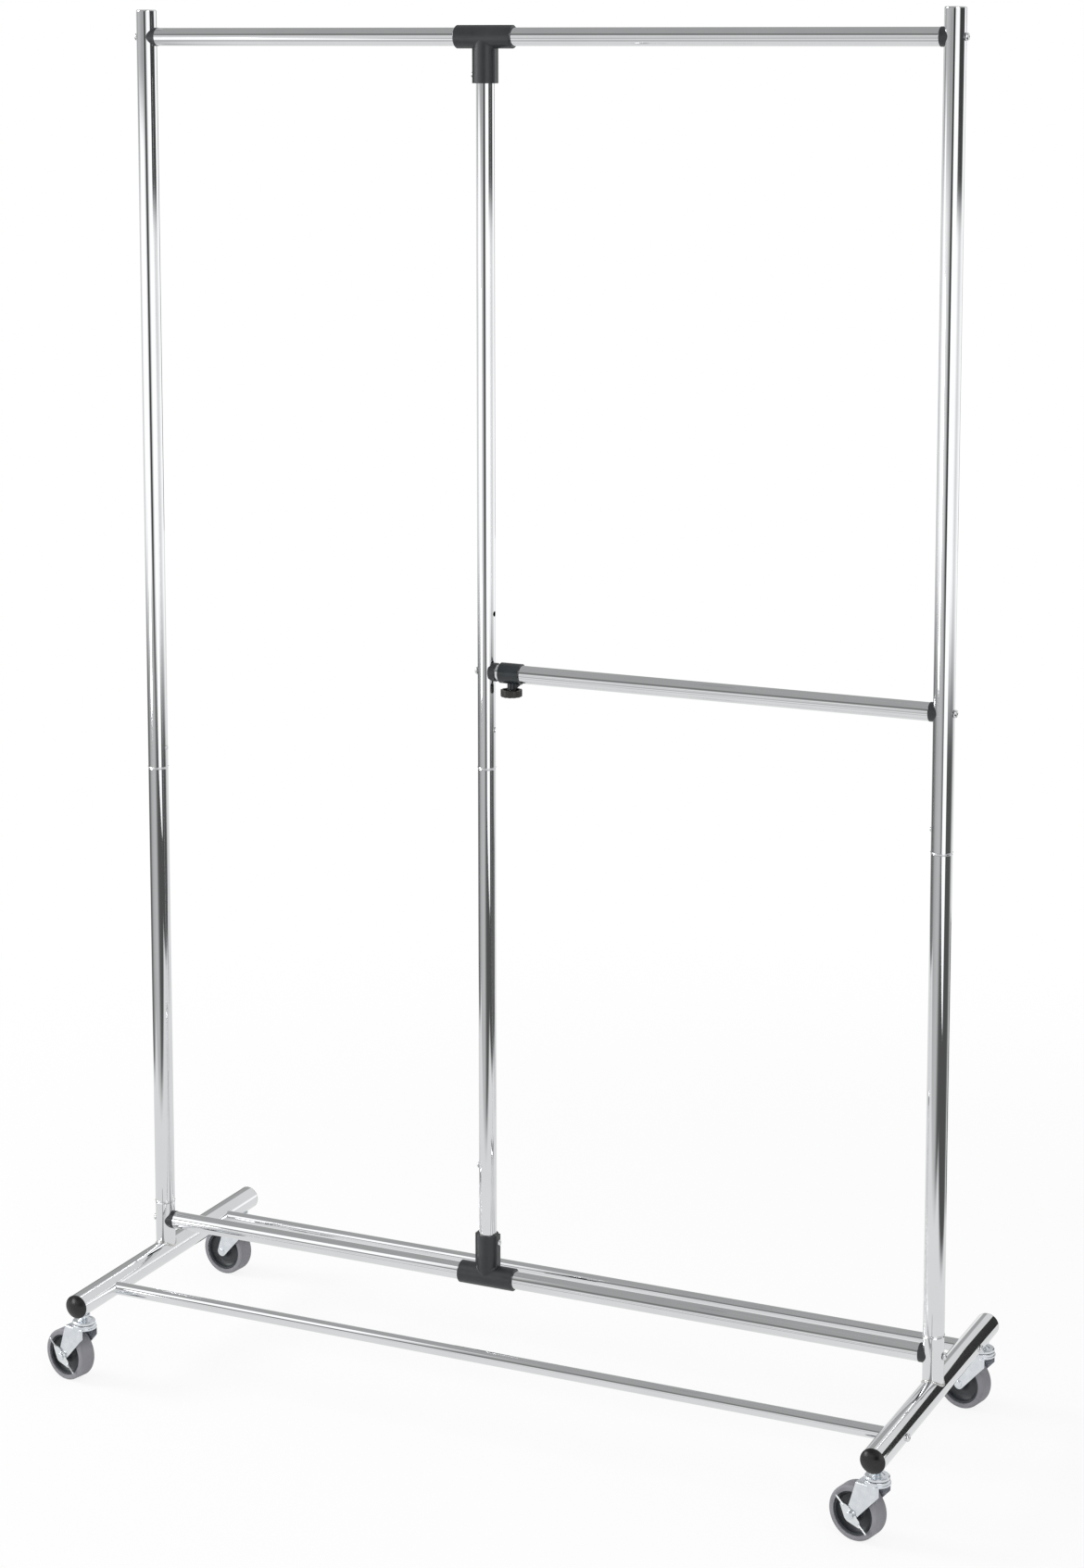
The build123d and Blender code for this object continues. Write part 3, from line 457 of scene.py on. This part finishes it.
def close_form(name, points, faces):
    """A closed, smooth piece whose faces all look outward."""
    mesh = bpy.data.meshes.new(name)
    mesh.from_pydata(points, [], faces)
    form = bmesh.new()
    form.from_mesh(mesh)
    bmesh.ops.recalc_face_normals(form, faces=form.faces)
    form.to_mesh(mesh)
    form.free()
    mesh.polygons.foreach_set("use_smooth", [True] * len(faces))
    made = bpy.data.objects.new(name, mesh)
    scene.collection.objects.link(made)
    return made


def ring_of_steel(name, path, outward, radii, facets=10):
    """A closed wire along path, as thick as radii say; outward is its first side at each point."""
    points, faces = [], []
    count = len(path)
    for index, here in enumerate(path):
        along = (path[(index + 1) % count] - path[index - 1]).normalized()
        first = outward[index] - along * outward[index].dot(along)
        first.normalize()
        second = along.cross(first)
        for turn in range(facets):
            angle = 2 * math.pi * turn / facets
            side = first * math.cos(angle) + second * math.sin(angle)
            points.append(here + side * radii[index])
        following = (index + 1) % count
        for turn in range(facets):
            beside = (turn + 1) % facets
            faces.append((index * facets + turn, index * facets + beside,
                          following * facets + beside, following * facets + turn))
    return close_form(name, points, faces)


def weld_steel():
    """Plated over, but left duller and wavier than the drawn tube."""
    made, tree, shader, place = finish("plated_weld")
    waves = clouds(tree, place, waves_per_metre, 3.0)
    set_inputs(tree, shader, {
        "Base Color": tint(tree, waves, (0.62, 0.61, 0.58), (0.80, 0.80, 0.79)),
        "Metallic": 1.0,
        "Roughness": between(tree, waves, 0.10, 0.24),
        "Normal": relief(tree, waves, wave_depth, 0.6),
    })
    return made


plated_weld = weld_steel()
for side, sign in sides:
    steps = bead_ripples * points_per_ripple
    reach = post_radius + bead_stands_off
    path, outward, radii = [], [], []
    for step in range(steps):
        angle = 2 * math.pi * step / steps
        x, y = reach * math.cos(angle), reach * math.sin(angle)
        on_foot = foot_axis + math.sqrt(foot_radius ** 2 - x ** 2) + bead_stands_off
        path.append(Vector((sign * post_axis + x, y, on_foot)))
        outward.append(Vector((x, y, 0.0)).normalized())
        radii.append(bead_radius * (1.0 + ripple_swell * math.sin(bead_ripples * angle)
                                    + slow_swell * math.sin(slow_swells * angle + sign)))
    bead = ring_of_steel(f"{side}_weld_bead", path, outward, radii)
    bead.data.materials.append(plated_weld)
    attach(bead, "frame")

lips = (("left_stub_lip", "frame", "left_lower_post"),
        ("right_stub_lip", "frame", "right_lower_post"),
        ("left_post_lip", "frame", "left_upper_post"),
        ("right_post_lip", "frame", "right_upper_post"),
        ("divider_lip", "divider", "divider_upper_tube"))
for name, body, tube in lips:
    tube_low, tube_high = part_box(tube)
    radius = (tube_high[0] - tube_low[0]) / 2
    middle = Vector((tube_low[0] + radius, 0.0, tube_low[2] + lip_radius))
    path, outward = [], []
    for step in range(lip_points):
        angle = 2 * math.pi * step / lip_points
        away = Vector((math.cos(angle), math.sin(angle), 0.0))
        path.append(middle + away * (radius - lip_sunk))
        outward.append(away)
    lip = ring_of_steel(name, path, outward, [lip_radius] * lip_points)
    lip.data.materials.append(chrome_along_z)
    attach(lip, body)

# ------------------------------------------------------------------ screws and snap buttons
# Small parts turned from steel bar, and chrome plated like the tubes but with a finer, rounder
# polish. The screws go through the posts into nuts that are pressed into the rails.
wear_per_metre, wear_depth = 260.0, 0.00001


def bright_fastener():
    """Polished plate, slightly worn by handling."""
    made, tree, shader, place = finish("bright_fastener")
    worn = clouds(tree, place, wear_per_metre, 3.0)
    set_inputs(tree, shader, {
        "Base Color": tint(tree, worn, (0.72, 0.73, 0.74), (0.82, 0.83, 0.84)),
        "Metallic": 1.0,
        "Roughness": between(tree, worn, 0.10, 0.18),
        "Normal": relief(tree, worn, wear_depth, 0.3),
    })
    return made


fastener_chrome = bright_fastener()
dress(fastener_chrome, "frame_bolts", "rail_nuts", "divider_fasteners", "clamp_screw",
      "left_snap_button", "right_snap_button")

# ------------------------------------------------------------------ button springs
# A strip of blued spring steel stands in each post, bent to a V. One leg rests on the far wall.
# The other carries the button and gives way when it is pressed; the copy made here keeps the one
# shape of its part and does not bend.
scale_per_metre, scale_depth = 300.0, 0.00001


def blued_spring():
    """Spring steel with the thin dark scale that hardening leaves."""
    made, tree, shader, place = finish("spring_strip")
    scale = clouds(tree, place, scale_per_metre, 4.0)
    set_inputs(tree, shader, {
        "Base Color": tint(tree, scale, (0.30, 0.31, 0.34), (0.44, 0.44, 0.46)),
        "Metallic": 1.0,
        "Roughness": between(tree, scale, 0.24, 0.38),
        "Normal": relief(tree, scale, scale_depth, 0.4),
    })
    return made


spring_steel = blued_spring()
for side, sign in sides:
    strip = bpy.data.objects.new(f"{side}_spring_strip",
                                 nodes[f"{side}_button_spring"].data.copy())
    scene.collection.objects.link(strip)
    strip.data.materials.clear()
    strip.data.materials.append(spring_steel)
    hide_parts(f"{side}_button_spring")
    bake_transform(strip)

# ------------------------------------------------------------------ foot caps
# Glossy black plugs moulded in soft polythene, pushed into both ends of each foot tube. The
# outside is one smooth dome over a thin rim, and the skirt grips the bore of the tube.
cap_face = foot_high[1]  # the end of the foot tube
cap_rim, cap_crown = 0.0004, 0.0046
skirt_length, skirt_radius, skirt_wall = 0.009, 0.0134, 0.0012
rim_step = 0.00005  # from the rim's underside down to the skirt
cap_turns, dome_steps = 64, 20
sharp_edge = math.radians(35.0)
scuffs_per_metre, scuff_depth = 130.0, 0.00002


def glossy_cap():
    """Black polythene with a few fine scuffs."""
    made, tree, shader, place = finish("glossy_black_cap")
    scuffs = clouds(tree, place, scuffs_per_metre, 6.0)
    set_inputs(tree, shader, {
        "Base Color": tint(tree, scuffs, (0.007, 0.007, 0.007), (0.013, 0.013, 0.013)),
        "Roughness": between(tree, scuffs, 0.16, 0.26),
        "Normal": relief(tree, scuffs, scuff_depth, 0.3),
    })
    return made


def domed_cap(name, x, end):
    """A dome on a skirt, turned round the axis of its foot tube; end is -1 in front, 1 behind."""
    ball = (foot_radius ** 2 + cap_crown ** 2) / (2 * cap_crown)
    dome_middle = cap_rim + cap_crown - ball
    profile = [(0.0, cap_rim + cap_crown)]
    for step in range(1, dome_steps + 1):
        radius = foot_radius * step / dome_steps
        profile.append((radius, dome_middle + math.sqrt(ball ** 2 - radius ** 2)))
    skirt_bore = skirt_radius - skirt_wall
    profile += [(foot_radius, 0.0), (skirt_radius, -rim_step), (skirt_radius, -skirt_length),
                (skirt_bore, -skirt_length), (skirt_bore, 0.0), (0.0, 0.0)]
    points, faces = [], []
    for radius, out in profile:
        for turn in range(cap_turns if radius else 1):
            angle = 2 * math.pi * turn / cap_turns
            points.append((x + radius * math.cos(angle), end * (cap_face + out),
                           foot_axis + end * radius * math.sin(angle)))
    starts = [0] + [1 + cap_turns * row for row in range(len(profile) - 1)]
    for row in range(len(profile) - 1):
        here, there = starts[row], starts[row + 1]
        for turn in range(cap_turns):
            beside = (turn + 1) % cap_turns
            if row == 0:
                faces.append((here, there + turn, there + beside))
            elif row == len(profile) - 2:
                faces.append((here + turn, there, here + beside))
            else:
                faces.append((here + turn, there + turn, there + beside, here + beside))
    made = close_form(name, points, faces)
    made.data.set_sharp_from_angle(angle=sharp_edge)
    return made


polythene = glossy_cap()
for side, sign in sides:
    for end_name, end in (("front", -1), ("back", 1)):
        cap = domed_cap(f"{end_name}_{side}_foot_cap", sign * post_axis, end)
        cap.data.materials.append(polythene)
        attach(cap, "frame")
        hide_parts("foot_caps")

# ------------------------------------------------------------------ saddles, tees and collar
# Moulded in glass-filled nylon, charcoal and satin, with a fine sparked texture from the mould.
# Saddles and tees are shaped to the tubes that they meet, and screws hold them. The clamp collar
# is the same nylon from a smoother mould, pushed over the end of the outer tube.
sparks_per_metre, flow_per_metre = 2400.0, 45.0
spark_depth = 0.00004


def moulded_plastic(name, dark, light, smooth, rough):
    """Satin moulded plastic with a sparked texture and slightly worn tone."""
    made, tree, shader, place = finish(name)
    spark = clouds(tree, place, sparks_per_metre, 2.0)
    flow = clouds(tree, place, flow_per_metre, 4.0)
    set_inputs(tree, shader, {
        "Base Color": tint(tree, flow, dark, light),
        "Roughness": between(tree, flow, smooth, rough),
        "Normal": relief(tree, spark, spark_depth, 0.5),
    })
    return made


charcoal = moulded_plastic("charcoal_nylon", (0.022, 0.025, 0.028), (0.032, 0.035, 0.038),
                           0.32, 0.42)
dress(charcoal, "top_left_saddle", "top_right_saddle", "base_left_saddle", "base_right_saddle",
      "mid_left_saddle", "mid_right_saddle", "top_tee", "base_tee")
collar_nylon = moulded_plastic("collar_nylon", (0.018, 0.022, 0.025), (0.027, 0.032, 0.036),
                               0.15, 0.24)
dress(collar_nylon, "clamp_collar")

# ------------------------------------------------------------------ clamp knob
# A fluted hand knob in black phenolic, moulded round the head of its threaded stud. The stud
# goes up through the collar's boss and presses on the inner tube.
knob_black = moulded_plastic("knob_phenolic", (0.020, 0.019, 0.017), (0.034, 0.032, 0.030),
                             0.34, 0.50)
dress(knob_black, "clamp_knob")

# ------------------------------------------------------------------ caster metalwork
# Forks, races, stems, sockets, axles and brake levers are pressed or turned steel with a bright
# blue-white zinc plate, duller and cloudier than the chrome. The balls between the races are
# bright hardened steel.
crystals_per_metre, grain_per_metre = 120.0, 900.0
zinc_grain_depth = 0.00001
corners = ("front_left", "front_right", "back_left", "back_right")


def zinc_plate(name, first, second, smooth, rough):
    """Bright zinc with soft crystal patches."""
    made, tree, shader, place = finish(name)
    crystals = clouds(tree, place, crystals_per_metre, 4.0)
    grain = clouds(tree, place, grain_per_metre, 2.0)
    set_inputs(tree, shader, {
        "Base Color": tint(tree, crystals, first, second),
        "Metallic": 1.0,
        "Roughness": between(tree, crystals, smooth, rough),
        "Normal": relief(tree, grain, zinc_grain_depth, 0.5),
    })
    return made


zinc = zinc_plate("fork_zinc", (0.76, 0.80, 0.84), (0.86, 0.89, 0.92), 0.20, 0.32)
brake_zinc = zinc_plate("brake_zinc", (0.84, 0.87, 0.89), (0.92, 0.94, 0.95), 0.22, 0.32)
for corner in corners:
    dress(zinc, f"{corner}_fork", f"{corner}_stem", f"{corner}_axle")
dress(zinc, "caster_sockets")
dress(brake_zinc, "front_left_brake", "front_right_brake")
dress(fastener_chrome, "race_balls")

# ------------------------------------------------------------------ wheels
# A grey rubber tread is moulded over a dark polypropylene hub, which is dished on both sides.
# The rubber has a dull skin with a little dust in it, and the hub the texture of its mould.
dust_per_metre, skin_per_metre, skin_depth = 60.0, 1500.0, 0.00005


def grey_rubber():
    """Rubber with a fine matt skin and a little dust."""
    made, tree, shader, place = finish("grey_rubber")
    dust = clouds(tree, place, dust_per_metre, 5.0)
    skin = clouds(tree, place, skin_per_metre, 2.0)
    set_inputs(tree, shader, {
        "Base Color": tint(tree, dust, (0.225, 0.225, 0.248), (0.285, 0.285, 0.308)),
        "Roughness": between(tree, dust, 0.5, 0.68),
        "Normal": relief(tree, skin, skin_depth, 0.4),
    })
    return made


rubber = grey_rubber()
hub_plastic = moulded_plastic("hub_polypropylene", (0.036, 0.041, 0.047),
                              (0.054, 0.060, 0.067), 0.36, 0.50)
for corner in corners:
    dress(rubber, f"{corner}_tread")
    dress(hub_plastic, f"{corner}_hub")
